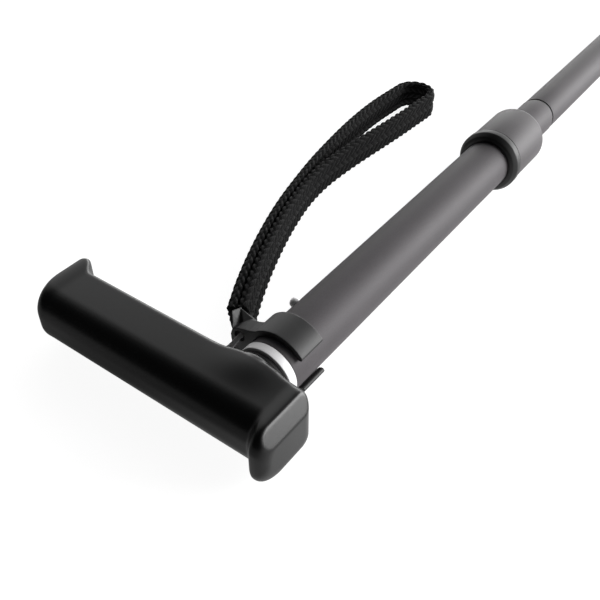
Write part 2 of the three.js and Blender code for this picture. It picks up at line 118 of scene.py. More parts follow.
def noise(tree, scale, stretch=(1, 1, 1), detail=3.0, roughness=0.55):
    """Noise of about scale millimetres, made stretch times longer along each axis of the piece."""
    place = add(tree, "ShaderNodeTexCoord")
    mapping = add(tree, "ShaderNodeMapping")
    mapping.inputs["Scale"].default_value = [1000 / scale / s for s in stretch]
    tree.links.new(place.outputs["Object"], mapping.inputs["Vector"])
    texture = add(tree, "ShaderNodeTexNoise", Scale=1.0, Detail=detail, Roughness=roughness)
    tree.links.new(mapping.outputs["Vector"], texture.inputs["Vector"])
    return texture.outputs["Fac"]


def remap(tree, value, low, high, start=0.3, end=0.7):
    node = add(tree, "ShaderNodeMapRange")
    node.inputs["From Min"].default_value = start
    node.inputs["From Max"].default_value = end
    node.inputs["To Min"].default_value = low
    node.inputs["To Max"].default_value = high
    tree.links.new(value, node.inputs["Value"])
    return node.outputs["Result"]


def tinted(tree, value, dark, light):
    """Two colours mixed by a value from 0 to 1."""
    node = add(tree, "ShaderNodeMix", data_type="RGBA")
    node.inputs["A"].default_value = (*dark, 1)
    node.inputs["B"].default_value = (*light, 1)
    tree.links.new(value, node.inputs["Factor"])
    return node.outputs["Result"]


def bump(tree, shader, value, distance):
    """A bump of so many millimetres."""
    node = add(tree, "ShaderNodeBump", Strength=1.0, Distance=distance * MM)
    tree.links.new(value, node.inputs["Height"])
    tree.links.new(node.outputs["Normal"], shader.inputs["Normal"])


def surface(
    name,
    dark,
    light,
    rough,
    metallic=0.0,
    ior=1.45,
    grain=0.5,
    depth=0.02,
    stretch=(1, 1, 1),
    patch=14.0,
):
    """A surface whose colour drifts from dark to light in large patches, with a fine grain in bump and roughness."""
    material, tree, shader = node_tree(name)
    broad = noise(tree, patch, detail=2.0)
    fine = noise(tree, grain, stretch)
    mixed = add(tree, "ShaderNodeMath", operation="MULTIPLY_ADD")
    tree.links.new(fine, mixed.inputs[0])
    mixed.inputs[1].default_value = 0.6
    halved = add(tree, "ShaderNodeMath", operation="MULTIPLY")
    tree.links.new(broad, halved.inputs[0])
    halved.inputs[1].default_value = 0.4
    tree.links.new(halved.outputs[0], mixed.inputs[2])
    tree.links.new(tinted(tree, remap(tree, mixed.outputs[0], 0, 1), dark, light), shader.inputs["Base Color"])
    tree.links.new(remap(tree, mixed.outputs[0], rough[0], rough[1]), shader.inputs["Roughness"])
    shader.inputs["Metallic"].default_value = metallic
    shader.inputs["IOR"].default_value = ior
    bump(tree, shader, fine, depth)
    return material


HANDLE = surface(
    "handle_satin_black",
    (0.0018, 0.0019, 0.002),
    (0.0032, 0.0033, 0.0035),
    (0.3, 0.36),
    ior=1.42,
    grain=0.35,
    depth=0.006,
)
TUBE = surface(
    "tube_matte_grey",
    (0.054, 0.0495, 0.053),
    (0.076, 0.07, 0.075),
    (0.55, 0.65),
    metallic=0.1,
    ior=1.33,
    grain=0.32,
    depth=0.012,
    stretch=(2.2, 1, 1),
)
COLLAR = surface(
    "collar_matte_grey",
    (0.056, 0.0515, 0.055),
    (0.08, 0.0745, 0.079),
    (0.5, 0.6),
    metallic=0.1,
    ior=1.35,
    grain=0.34,
    depth=0.012,
)
RING = surface(
    "ring_satin_silver", (0.6, 0.595, 0.6), (0.7, 0.695, 0.7), (0.5, 0.6), metallic=0.12, grain=0.4, depth=0.02
)
LOCK_BLACK = surface(
    "lock_moulded_black", (0.002, 0.0021, 0.0022), (0.004, 0.0041, 0.0043), (0.45, 0.55), ior=1.4, grain=0.3, depth=0.01
)
CLIP = surface(
    "clip_moulded_grey",
    (0.007, 0.007, 0.0074),
    (0.012, 0.0118, 0.0122),
    (0.44, 0.52),
    ior=1.42,
    grain=0.28,
    depth=0.014,
)
RUBBER = surface(
    "rubber_black", (0.004, 0.004, 0.0042), (0.009, 0.009, 0.0092), (0.62, 0.78), ior=1.4, grain=0.4, depth=0.03
)
SEAL = surface("seal_dark", (0.016, 0.016, 0.016), (0.026, 0.026, 0.026), (0.6, 0.7), ior=1.4, grain=0.3, depth=0.01)
NICKEL = surface(
    "nickel_wire", (0.86, 0.855, 0.86), (0.95, 0.945, 0.95), (0.3, 0.4), metallic=0.15, grain=0.4, depth=0.003
)
STEEL = surface(
    "brushed_steel", (0.42, 0.42, 0.43), (0.56, 0.56, 0.57), (0.28, 0.4), metallic=1.0, grain=0.3, depth=0.006,
    stretch=(8, 1, 1)
)
BRASS = surface(
    "turned_brass", (0.5, 0.35, 0.14), (0.64, 0.47, 0.22), (0.25, 0.4), metallic=1.0, grain=0.25, depth=0.006
)
ALUMINIUM = surface(
    "plain_aluminium", (0.5, 0.5, 0.51), (0.66, 0.66, 0.67), (0.3, 0.45), metallic=1.0, grain=0.35, depth=0.008
)
PLASTIC = surface(
    "pale_plastic", (0.66, 0.66, 0.63), (0.76, 0.76, 0.73), (0.45, 0.6), ior=1.46, grain=0.5, depth=0.01
)


def braid_material(name, dark, light):
    """Black polyester braid with fine fibres along each stitch, its colour darkened between the stitches by their
    height as painted shade.
    """
    material, tree, shader = node_tree(name)
    crown = add(tree, "ShaderNodeAttribute", attribute_name="crown")
    across = add(tree, "ShaderNodeAttribute", attribute_name="fibre")
    wave = add(tree, "ShaderNodeMath", operation="SINE")
    tree.links.new(across.outputs["Fac"], wave.inputs[0])
    fuzz = noise(tree, 0.35)
    mixed = add(tree, "ShaderNodeMath", operation="MULTIPLY_ADD")
    tree.links.new(wave.outputs[0], mixed.inputs[0])
    mixed.inputs[1].default_value = 0.22
    tree.links.new(fuzz, mixed.inputs[2])
    # The fibre pattern times the stitch height: painted shade darkens the colour between the stitches.
    shade = add(tree, "ShaderNodeMath", operation="MULTIPLY")
    tree.links.new(remap(tree, mixed.outputs[0], 0.35, 1.0, 0.25, 0.8), shade.inputs[0])
    tree.links.new(crown.outputs["Fac"], shade.inputs[1])
    tree.links.new(tinted(tree, shade.outputs[0], dark, light), shader.inputs["Base Color"])
    shader.inputs["Roughness"].default_value = 0.75
    shader.inputs["IOR"].default_value = 1.22
    shader.inputs["Sheen Weight"].default_value = 0.03
    shader.inputs["Sheen Roughness"].default_value = 0.4
    bump(tree, shader, mixed.outputs[0], 0.09)
    return material


# The first colour is painted shade in the valleys between stitches and thread turns, the second the braid's colour on
# their crowns.
BRAID = braid_material("braid_black", (0.0003, 0.0003, 0.0003), (0.0085, 0.0086, 0.0091))
THREAD = braid_material("thread_black", (0.0005, 0.0005, 0.0005), (0.007, 0.0071, 0.0075))


# ---------------------------------------------------------------- meshes
def make(name, points, faces, material, body, slot, replaces=(), sharp=40.0):
    """A new piece from points in local millimetres."""
    mesh = bpy.data.meshes.new(name)
    mesh.from_pydata(at(points).tolist(), [], [list(f) for f in faces])
    mesh.validate()
    piece = bpy.data.objects.new(name, mesh)
    bpy.context.scene.collection.objects.link(piece)
    return finished(piece, material, body, replaces, sharp)


def outward(mesh):
    """Joins points that coincide and turns every face outwards."""
    bm = bmesh.new()
    bm.from_mesh(mesh)
    bmesh.ops.remove_doubles(bm, verts=bm.verts, dist=1e-7)
    bmesh.ops.recalc_face_normals(bm, faces=bm.faces)
    bm.to_mesh(mesh)
    bm.free()


def finished(piece, material, body, replaces=(), sharp=40.0):
    """Gives a piece its material and body, with edges over sharp degrees kept crisp."""
    outward(piece.data)
    piece.data.materials.clear()
    piece.data.materials.append(material)
    piece.data.shade_smooth()
    piece.data.set_sharp_from_angle(angle=math.radians(sharp))
    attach(piece, body)
    if replaces:
        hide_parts(*replaces)
    return piece


def baked(piece):
    """Puts the result of a piece's modifiers into its mesh."""
    graph = bpy.context.evaluated_depsgraph_get()
    mesh = bpy.data.meshes.new_from_object(piece.evaluated_get(graph))
    piece.modifiers.clear()
    old = piece.data
    piece.data = mesh
    bpy.data.meshes.remove(old)
    mesh.name = piece.name


def scrap(name, points, faces):
    """A temporary object, in local millimetres."""
    mesh = bpy.data.meshes.new(name)
    mesh.from_pydata(at(points).tolist(), [], [list(f) for f in faces])
    outward(mesh)
    piece = bpy.data.objects.new(name, mesh)
    bpy.context.scene.collection.objects.link(piece)
    return piece


def cut(piece, tool):
    """Takes the tool's shape out of the piece and drops the tool."""
    modifier = piece.modifiers.new("cut", "BOOLEAN")
    modifier.operation = "DIFFERENCE"
    modifier.solver = "EXACT"
    modifier.object = tool
    baked(piece)
    mesh = tool.data
    bpy.data.objects.remove(tool)
    bpy.data.meshes.remove(mesh)


def joined(name, parts):
    """Several closed shapes, (points, faces), in one temporary object."""
    points, faces = [], []
    for p, f in parts:
        start = len(points)
        points.extend(np.asarray(p).tolist())
        faces.extend([[i + start for i in face] for face in f])
    return scrap(name, points, faces)


def melted(piece, voxel, rounds):
    """Fuses overlapping closed shapes into one skin and softens its edges, as a moulding has."""
    remesh = piece.modifiers.new("remesh", "REMESH")
    remesh.mode = "VOXEL"
    remesh.voxel_size = voxel * MM
    remesh.use_smooth_shade = True
    baked(piece)
    soften = piece.modifiers.new("soften", "SMOOTH")
    soften.factor = 0.5
    soften.iterations = rounds
    baked(piece)


def rounded(corners):
    """A closed or open profile whose corners (x, r, fillet) are replaced by arcs. It returns (x, r) points."""
    result = []
    n = len(corners)
    for i, (x, r, fillet) in enumerate(corners):
        here = np.array([x, r], float)
        if fillet <= 0:
            result.append(here)
            continue
        before = np.array(corners[i - 1][:2], float)
        after = np.array(corners[(i + 1) % n][:2], float)
        a = (before - here) / np.linalg.norm(before - here)
        b = (after - here) / np.linalg.norm(after - here)
        half = math.acos(np.clip(a @ b, -1, 1)) / 2
        reach = min(fillet / math.tan(half), 0.49 * np.linalg.norm(before - here), 0.49 * np.linalg.norm(after - here))
        radius = reach * math.tan(half)
        middle = here + (a + b) / np.linalg.norm(a + b) * math.hypot(reach, radius)
        start, end = here + a * reach - middle, here + b * reach - middle
        sweep = math.pi - 2 * half
        steps = max(2, math.ceil(sweep / math.radians(15)))
        for k in range(steps + 1):
            t = k / steps
            v = (math.sin((1 - t) * sweep) * start + math.sin(t * sweep) * end) / math.sin(sweep)
            result.append(middle + v)
    return [p.tolist() for p in result]


def lathe(profile, segments=144, closed=True):
    """A body of revolution about the shaft from (x, r) points. A profile with no hole starts and ends on the axis."""
    profile = np.asarray(profile, float)
    n = len(profile)
    turn = np.arange(segments) * 2 * math.pi / segments
    c, s = np.cos(turn), np.sin(turn)
    points = np.stack(
        [np.repeat(profile[:, 0], segments), np.outer(profile[:, 1], c).ravel(), np.outer(profile[:, 1], s).ravel()], 1
    )
    faces = []
    for i in range(n if closed else n - 1):
        j = (i + 1) % n
        for k in range(segments):
            m = (k + 1) % segments
            quad = [i * segments + k, i * segments + m, j * segments + m, j * segments + k]
            if profile[i, 1] < 1e-9 and profile[j, 1] < 1e-9:
                continue
            if profile[i, 1] < 1e-9:
                quad = [i * segments, j * segments + m, j * segments + k]
            elif profile[j, 1] < 1e-9:
                quad = [i * segments + k, i * segments + m, j * segments]
            faces.append(quad)
    return points, faces


def loft(rings, caps=True):
    """A skin over rings of points, with fans at both ends."""
    rings = np.asarray(rings, float)
    count, n = rings.shape[:2]
    points = rings.reshape(-1, 3)
    i = np.arange(count - 1)[:, None] * n
    j = np.arange(n)[None, :]
    k = (j + 1) % n
    faces = np.stack([i + j, i + k, i + n + k, i + n + j], -1).reshape(-1, 4).tolist()
    if caps:
        middles = [rings[0].mean(0), rings[-1].mean(0)]
        points = np.vstack([points, middles])
        base = count * n
        for q in range(n):
            faces.append([q, base, (q + 1) % n])
            faces.append([base - n + q, base - n + (q + 1) % n, base + 1])
    return points, faces


# ---------------------------------------------------------------- strap route
STRAP_LINE = [
    (18.4, 29.3), (24.8, 32.7), (31.4, 36.2), (46, 43), (61, 49.2), (81, 56.3), (102, 62.1), (121, 65.6),
    (140, 67.3), (158, 68.1), (176, 68.3), (196, 67.9), (214.3, 67),
]
STRAP_W, STRAP_T = 13, 3.3
BULGE_W, BULGE_T = 0.6, 0.55  # how far the stitches stand out beyond half the band's width and thickness
LEAN_START = 80  # the braid's lean at the clip, in degrees; it stands upright at the far turn
APART_START, SPREAD = 2.2, 7.1  # half the strands' distance at the clip, and what the far end adds
FLOOR = -14.8


class Spline:
    """Centripetal Catmull-Rom line through points, by its share of the length."""

    def __init__(self, points, fine=400):
        p = np.asarray(points, float)
        p = np.vstack([2 * p[0] - p[1], p, 2 * p[-1] - p[-2]])
        out = []
        for a, b, c, d in zip(p, p[1:], p[2:], p[3:]):
            t0, t1, t2 = [math.sqrt(np.linalg.norm(v)) for v in (b - a, c - b, d - c)]
            m1 = ((b - a) / t0 - (c - a) / (t0 + t1) + (c - b) / t1) * t1
            m2 = ((c - b) / t1 - (d - b) / (t1 + t2) + (d - c) / t2) * t1
            u = np.linspace(0, 1, fine, endpoint=False)[:, None]
            out.append(b + m1 * u + (-3 * b + 3 * c - 2 * m1 - m2) * u**2 + (2 * b - 2 * c + m1 + m2) * u**3)
        self.line = np.vstack([*out, p[-2][None]])
        steps = np.linalg.norm(np.diff(self.line, axis=0), axis=1)
        self.along = np.concatenate([[0], np.cumsum(steps)])
        self.length = self.along[-1]

    def point(self, t):
        return np.array([np.interp(t * self.length, self.along, self.line[:, k]) for k in range(self.line.shape[1])])

    def tangent(self, t):
        e = 1e-3
        d = self.point(min(1, t + e)) - self.point(max(0, t - e))
        return d / np.linalg.norm(d)


middle_line = Spline(STRAP_LINE)


def strap_frame(t):
    """The middle of the pair of strands, the directions of the braid's width and thickness, and half their distance."""
    x, y = middle_line.point(t)
    dx, dy = middle_line.tangent(t)
    across, up = np.array([-dy, dx, 0]), np.array([0, 0, 1.0])
    a = math.radians(LEAN_START + (90 - LEAN_START) * math.sqrt(smooth(t / 0.85)))
    wide = across * math.cos(a) + up * math.sin(a)
    thin = across * math.sin(a) - up * math.cos(a)
    apart = APART_START + SPREAD * smooth((t - 0.42) / 0.5)
    z = FLOOR + BULGE_W + 0.05 + STRAP_W / 2 * math.sin(a) + (apart + STRAP_T / 2) * math.cos(a)
    return np.array([x, y, z]), wide, thin, np.array([dx, dy, 0]), apart


def strap_route(count=160, turn=28):
    """Centreline points with the width and thickness directions, from one end of the loop to the other."""
    rows = []
    for i in range(count + 1):
        p, wide, thin, d, apart = strap_frame(i / count)
        rows.append((p - thin * apart, wide, thin))
    p, wide, thin, d, apart = strap_frame(1)
    for i in range(1, turn):
        q = i * math.pi / turn
        out = -thin * math.cos(q) + d * math.sin(q)
        rows.append((p + out * apart, wide, -out))
    for i in range(count, -1, -1):
        p, wide, thin, d, apart = strap_frame(i / count)
        rows.append((p + thin * apart, wide, -thin))
    return [np.array(column) for column in zip(*rows)]


COLUMNS, PER_COLUMN = 10, 6  # columns of stitches around the braid, and mesh points across each
ROW_STEP = 0.34  # distance between the mesh rows along the braid
PITCH = 4.2  # length of a stitch
STITCH_DEPTH = 0.8
SLANT = 0.5  # how far a stitch leans over its column, in stitches
THREAD_PITCH = 0.75  # distance between the turns of the binding thread


def braid_outline(w, h):
    """Points around a flat braid's section, evenly spaced, with the direction outwards at each."""
    end = 1.7
    flat = w - end
    outline = []
    for sx, a0 in ((1, -90), (-1, 90)):
        for q in np.linspace(a0, a0 + 180, 60):
            outline.append((sx * flat + end * math.cos(math.radians(q)), h * math.sin(math.radians(q))))
    outline = np.array([*outline, outline[0]])
    along = np.concatenate([[0], np.cumsum(np.linalg.norm(np.diff(outline, axis=0), axis=1))])
    n = COLUMNS * PER_COLUMN
    want = np.arange(n) / n * along[-1]
    points = np.stack([np.interp(want, along, outline[:, k]) for k in (0, 1)], 1)
    normal = np.stack([points[:, 0] / w**2 * 3.0, points[:, 1] / h**2], 1)
    normal[np.abs(points[:, 0]) < flat, 0] = 0
    normal /= np.linalg.norm(normal, axis=1)[:, None]
    return points, normal


def stitches(u, s, pitch=PITCH):
    """Height of the braid, 0 between stitches and 1 on them, and a coordinate across their fibres. The height shapes
    the mesh and also paints shade between the stitches.
    """
    column = np.floor(u)
    c = 2 * (u - column) - 1
    hand = np.where(column % 2 == 0, 1.0, -1.0)
    phase = s / pitch + SLANT * c * hand + 0.5 * (column % 2)
    crown = np.sqrt(np.clip(1 - np.abs(c) ** 2.6, 0, 1)) * np.abs(np.sin(math.pi * phase)) ** 0.8
    fibre = (c - hand * (phase % 1 - 0.5) * 0.9) * 14
    return crown, fibre


def braid_mesh(name, centre, wide, thin, w, h, body, slot, replaces):
    """A flat braid along a route. Its stitches are real bumps in the mesh, and their height also darkens the colour
    between them as painted shade.
    """
    lengths = np.concatenate([[0], np.cumsum(np.linalg.norm(np.diff(centre, axis=0), axis=1))])
    rows = int(lengths[-1] / ROW_STEP) + 1
    s = np.linspace(0, lengths[-1], rows)
    route = [np.stack([np.interp(s, lengths, column[:, k]) for k in range(3)], 1) for column in (centre, wide, thin)]
    c, a, b = route
    a /= np.linalg.norm(a, axis=1)[:, None]
    b /= np.linalg.norm(b, axis=1)[:, None]
    outline, normal = braid_outline(w, h)
    u = np.arange(len(outline)) / PER_COLUMN
    crown, fibre = stitches(u[None, :], s[:, None])
    inset = -STITCH_DEPTH * (1 - crown)
    x = outline[None, :, 0] + normal[None, :, 0] * inset
    y = outline[None, :, 1] + normal[None, :, 1] * inset
    rings = c[:, None] + a[:, None] * x[..., None] + b[:, None] * y[..., None]
    points, faces = loft(rings)
    piece = make(name, points, faces, BRAID, body, slot, replaces, sharp=180)
    shade(piece, crown, fibre)
    return piece


def shade(piece, crown, fibre):
    """Keeps the height of the stitches and the coordinate across their fibres on a lofted piece's points. The height
    darkens the colour between the stitches as painted shade.
    """
    for key, values in (("crown", crown), ("fibre", fibre)):
        data = np.concatenate([np.ravel(values), [0.5, 0.0]]).astype(np.float32)
        layer = piece.data.attributes.new(key, "FLOAT", "POINT")
        if len(layer.data) != len(data):
            raise RuntimeError(f"{piece.name}: the mesh changed under its attributes")
        layer.data.foreach_set("value", data)


centre, wide, thin = strap_route()
strap = braid_mesh(
    "braided_strap",
    centre,
    wide,
    thin,
    STRAP_W / 2 + BULGE_W,
    STRAP_T / 2 + BULGE_T,
    "strap",
    "braid",
    ["wrist_strap"],
)

# ---------------------------------------------------------------- split ring
EYE = np.array([6.2, 16.4, 3.6])
SPLIT_R, SPLIT_WIRE, SPLIT_LEAN = 6.6, 0.8, 67
_lean = math.radians(SPLIT_LEAN)
RING_DOWN = np.array([0, math.cos(_lean), -math.sin(_lean)])
RING_AXIS = np.array([0, math.sin(_lean), math.cos(_lean)])
RING_MIDDLE = EYE + SPLIT_R * RING_DOWN


def split_ring():
    """Flat-wound wire of nearly three turns, with both ends cut square and slightly rounded."""
    turns, n, per_turn = 2.86, 16, 120
    steps = int(turns * per_turn)
    rings = []
    for i in range(steps + 1):
        q = i / per_turn * 2 * math.pi + 0.9
        out = np.cos(q) * np.array([1, 0, 0]) + np.sin(q) * RING_DOWN
        lift = (i / steps - 0.5) * 2 * SPLIT_WIRE
        end = min(i, steps - i)
        size = math.sqrt(max(0.0, 1 - (1 - min(1, (end + 0.5) / 3)) ** 2))
        ring = []
        for k in range(n):
            v = k / n * 2 * math.pi
            cv, sv = math.cos(v), math.sin(v)
            x = math.copysign(abs(cv) ** 0.7, cv) * SPLIT_WIRE * 0.5 * size
            y = math.copysign(abs(sv) ** 0.7, sv) * SPLIT_WIRE * 0.46 * size
            ring.append(RING_MIDDLE + out * (SPLIT_R + x) + RING_AXIS * (lift + y))
        rings.append(ring)
    points, faces = loft(rings)
    return make("wound_split_ring", points, faces, NICKEL, "strap", "chromed", ["split_ring"])


ring_piece = split_ring()


# ---------------------------------------------------------------- strap end
WAIST = np.array([13.4, 25.2, -8.8])  # middle of the binding


def strap_end():
    """Where both ends of the braid are bound together and folded round the split ring."""
    p, wide0, thin0, d0, apart = strap_frame(0)
    wire = RING_MIDDLE + SPLIT_R * RING_DOWN
    # Along the fold: middle, half width and half thickness
    stops = np.array([
        [*(p - d0 * 0.25), STRAP_W / 2 - 0.6, apart + STRAP_T / 2 - 0.3],
        [*(p - d0 * 1.6), STRAP_W / 2 - 1.2, 3.3],
        [*(WAIST + d0 * 0.5), 3.05, 2.45],
        [*WAIST, 2.95, 2.4],
        [*(wire + [3.4, 0.4, 0]), 2.85, 2.85],
        [*wire, 3.0, 3.0],
        [*(wire - [3.3, 0, 0]), 3.0, 3.0],
    ])
    route = Spline(stops)
    length = route.length
    rows, n = 150, COLUMNS * PER_COLUMN
    q = np.arange(n) / n * 2 * math.pi
    square_x = np.sign(np.cos(q)) * np.abs(np.cos(q)) ** 0.75
    square_y = np.sign(np.sin(q)) * np.abs(np.sin(q)) ** 0.75
    rings, crowns, fibres = [], [], []
    for i in range(rows + 1):
        t = i / rows
        *c, w, h = route.point(t)
        forward = route.tangent(t)[:3]
        forward /= np.linalg.norm(forward)
        a = wide0 - forward * (wide0 @ forward)
        a /= np.linalg.norm(a)
        b = np.cross(forward, a)
        b *= math.copysign(1, b @ thin0)
        s = t * length
        tip = max(0.0, 1 - (length - s) / 1.2)
        close = math.sqrt(max(0.0, 1 - tip**2))
        crown, fibre = stitches(np.arange(n) / PER_COLUMN, np.array(s), pitch=2.6)
        wound = abs(math.sin(s / THREAD_PITCH * math.pi)) ** 0.6  # turns of thread round the binding
        bound = smooth((s - 2.2) / 0.6) * smooth((12.5 - s) / 0.8)
        # The wound thread's height, like the stitches', also darkens the colour between its turns: painted shade.
        crown = crown * (1 - bound) + wound * bound
        fibre = fibre * (1 - bound) + q * 3 * bound
        crowns.append(crown)
        fibres.append(fibre)
        inset = (0.35 * (1 - bound) + 0.16 * bound) * (1 - crown)
        x = square_x * (w * close - inset * close)
        y = square_y * (h * close - inset * close)
        rings.append(np.array(c) + np.outer(x, a) + np.outer(y, b))
    rings[-1] = rings[-1].mean(0) + (rings[-2] - rings[-2].mean(0)) * 0.4
    points, faces = loft(rings)
    piece = make("strap_fold", points, faces, THREAD, "strap", "braid", ["strap_end"], sharp=180)
    shade(piece, crowns, fibres)
    return piece


fold = strap_end()

# ---------------------------------------------------------------- handle
GAP = 0.3
PALM_X, UNDER_X, HALF_Z = -31.3, -8.2, 11
LONG_Y, SHORT_Y = 87.2, -24.3
PALM_R, UNDER_R = 9, 2.2
SHORT_ROUND, UNDER_ROUND = 4.2, 5.8
FACET_Y, FACET_SLOPE = -21.1, 1.65
FACET_TOP, FACET_SOFT = 12.1, 1.6
BOSS_END = -6.2
INSERT_R = 6.2


def handle_ring(y):
    """One section of the handle in the x-z plane."""
    to_long = smooth((y - (LONG_Y - 10)) / 8)
    to_short = smooth((-14.6 - y) / 5)

    def rounding(start, length, sign):
        end = max(0, sign * (y - start) / length)
        return 1 - math.sqrt(max(0, 1 - end**2))

    round_long = rounding(LONG_Y - 7, 7, 1)
    round_short = rounding(SHORT_Y + SHORT_ROUND, SHORT_ROUND, -1)
    round_under = rounding(SHORT_Y + UNDER_ROUND, UNDER_ROUND, -1)
    palm = PALM_X - 4 * to_short + 8.5 * round_long + 4.4 * round_short
    under = UNDER_X + 1.6 * math.exp(-((y / 11) ** 4)) + 5.6 * to_long - 1.2 * round_long - 5.2 * round_under
    half = HALF_Z + 0.5 * to_long + 0.7 * to_short - 1.5 * round_long - 4.6 * round_short
    palm_r = PALM_R - 1.5 * to_short
    under_r = UNDER_R + 1.3 * to_short
    corners = [
        (under - under_r, half - under_r, under_r, 0, 8),
        (palm + palm_r, half - palm_r, palm_r, 90, 20),
        (palm + palm_r, palm_r - half, palm_r, 180, 20),
        (under - under_r, under_r - half, under_r, 270, 8),
    ]
    ring = []
    for k, (cx, cz, r, start, steps) in enumerate(corners):
        for i in range(steps + 1):
            a = math.radians(start + 90 * i / steps)
            ring.append([cx + r * math.cos(a), y, cz + r * math.sin(a)])
        nx, nz, next_r, turned, _ = corners[(k + 1) % 4]
        a = math.radians(turned)
        first = np.array(ring[-1])
        last = np.array([nx + next_r * math.cos(a), y, nz + next_r * math.sin(a)])
        for i in range(1, 12):
            ring.append((first + (last - first) * i / 12).tolist())
    ring = np.array(ring)
    near = smooth((ring[:, 0] - (UNDER_X - 15)) / 13) * math.exp(-((y / 10.5) ** 2))
    ring[:, 2] *= 1 + 0.115 * near
    # A facet falls away on top of the short end, with a soft edge
    facet = FACET_TOP - FACET_SLOPE * (FACET_Y + 0.9 - y)
    gap = np.clip((facet - ring[:, 2]) / FACET_SOFT + 0.5, 0, 1)
    ring[:, 2] = facet * (1 - gap) + ring[:, 2] * gap - FACET_SOFT * gap * (1 - gap) / 2
    return ring


def handle():
    stations = [SHORT_Y + SHORT_ROUND * (1 - math.cos(i * math.pi / 32)) for i in range(16)] + [FACET_Y]
    stations = sorted(stations) + np.arange(SHORT_Y + SHORT_ROUND, -8, 0.5).tolist()
    stations += np.arange(-8, 16, 1).tolist()
    stations += np.arange(16, LONG_Y - 12, 2).tolist()
    stations += np.arange(LONG_Y - 12, LONG_Y - 7, 0.5).tolist()
    stations += [LONG_Y - 7 * (1 - math.cos(i * math.pi / 48)) for i in range(24, -1, -1)]
    body = loft([handle_ring(y) for y in stations])
    boss = [[-22, 0], [-22, 9], [-14, 11.2], [-9.4, 12.2], [-7.1, 12.1]]
    boss += [[BOSS_END - 0.2, 11.6], [BOSS_END, 11.3], [BOSS_END, 0]]
    piece = joined("moulded_handle", [body, lathe(boss, closed=False)])
    melted(piece, 0.37, 7)
    hole = scrap("hole", *lathe([[-26.3, 0], [-26.3, INSERT_R + GAP], [-3, INSERT_R + GAP], [-3, 0]], 96, closed=False))
    cut(piece, hole)
    return finished(piece, HANDLE, "upper", ["handle_grip"])


handle()

# ---------------------------------------------------------------- shaft
UPPER_R, UPPER_IN, UPPER_END = 11, 9.8, 172
ADJUST_R, LOWER_R, WALL = 9.2, 9, 1.2
ADJUST_TOP, ADJUST_END = 112, 222.4
LOWER_START, LOWER_END = 223.9, 812
STUD_R = 4
BUTTON_X, BUTTON_ANGLE, BUTTON_R, BUTTON_TIP = 27, 30, 2.1, 13.3


def hollow(x0, x1, outer, inner, edge=0.3):
    return rounded([(x0, inner, 0), (x1, inner, 0), (x1, outer, edge), (x0, outer, edge)])


def stretched(profile, every=12.0):
    """The profile with long runs divided, so that shading and baking stay even."""
    result = []
    n = len(profile)
    for i in range(n):
        a, b = np.array(profile[i]), np.array(profile[(i + 1) % n])
        pieces = max(1, math.ceil(np.linalg.norm(b - a) / every))
        result.extend((a + (b - a) * k / pieces).tolist() for k in range(pieces))
    return result


def radial(points, segments=48):
    """A body of revolution about the button's axis, from (distance from the shaft's axis, radius)."""
    p, faces = lathe(points, segments, closed=False)
    a = math.radians(BUTTON_ANGLE)
    out = np.array([0, math.cos(a), math.sin(a)])
    side = np.array([0, -math.sin(a), math.cos(a)])
    return np.outer(p[:, 0], out) + np.outer(p[:, 1], [1, 0, 0]) + np.outer(p[:, 2], side) + [BUTTON_X, 0, 0], faces


tube_piece = scrap("upper_shaft", *lathe(stretched(hollow(0, UPPER_END, UPPER_R, UPPER_IN))))
cut(tube_piece, scrap("bore", *radial([[6, 0], [6, BUTTON_R + GAP], [14, BUTTON_R + GAP], [14, 0]])))
finished(tube_piece, TUBE, "upper", ["upper_tube"], sharp=30)

dome = [[7.6, 0], [7.6, 3], [8.8, 3], [8.8, BUTTON_R]]
dome += [[BUTTON_TIP - 1.7 + 1.7 * math.sin(a), BUTTON_R * math.cos(a)] for a in np.linspace(0, math.pi / 2, 12)]
dome[-1][1] = 0
make("chrome_snap_button", *radial(dome), NICKEL, "button", "chromed", ["snap_button"])

make("lower_shaft", *lathe(stretched(hollow(LOWER_START, LOWER_END, LOWER_R, LOWER_R - WALL), 20)), TUBE, "lower",
     "grey_anodised", ["lower_tube"])
make("adjusting_shaft", *lathe(stretched(hollow(ADJUST_TOP, ADJUST_END, ADJUST_R, ADJUST_R - WALL))), TUBE, "lower",
     "grey_anodised", ["adjusting_tube"])
make("silver_neck_ring", *lathe(rounded([
    (-3.9, STUD_R + GAP, 0), (-0.3, STUD_R + GAP, 0), (-0.3, 11.3, 0.25), (-3.9, 11.3, 0.4),
])), RING, "upper", "bright_ring", ["neck_ring"])
make("neck_washer", *lathe(rounded([
    (-5.9, STUD_R + GAP, 0), (-4.2, STUD_R + GAP, 0), (-4.2, 10.4, 0.4), (-5.9, 10.4, 0.4),
])), RUBBER, "upper", "gasket_black", ["neck_gasket"])
make("lock_cuff", *lathe(rounded([
    (164.5, 11.3, 0), (170.9, 11.3, 0), (170.9, 14.3, 0.15), (170.3, 14.8, 0.3), (167.2, 14.8, 1.2),
    (164.9, 13.4, 0.9), (164.5, 12.2, 0.3),
])), LOCK_BLACK, "upper", "lock_black", ["lock_ring"])
make("twist_collar", *lathe(rounded([
    (171.2, 11.3, 0), (188.3, 11.3, 0), (191.3, 9.55, 0), (199, 9.55, 0.25), (199, 14.35, 4.7), (171.2, 14.35, 0.35),
])), COLLAR, "collar", "collar_grey", ["lock_collar"])
make("joint_seal_ring", *lathe(rounded([
    (222.7, 7.9, 0), (223.6, 7.9, 0), (223.6, 8.75, 0.2), (222.7, 8.75, 0.2),
])), SEAL, "lower", "seal_dark", ["joint_seal"])

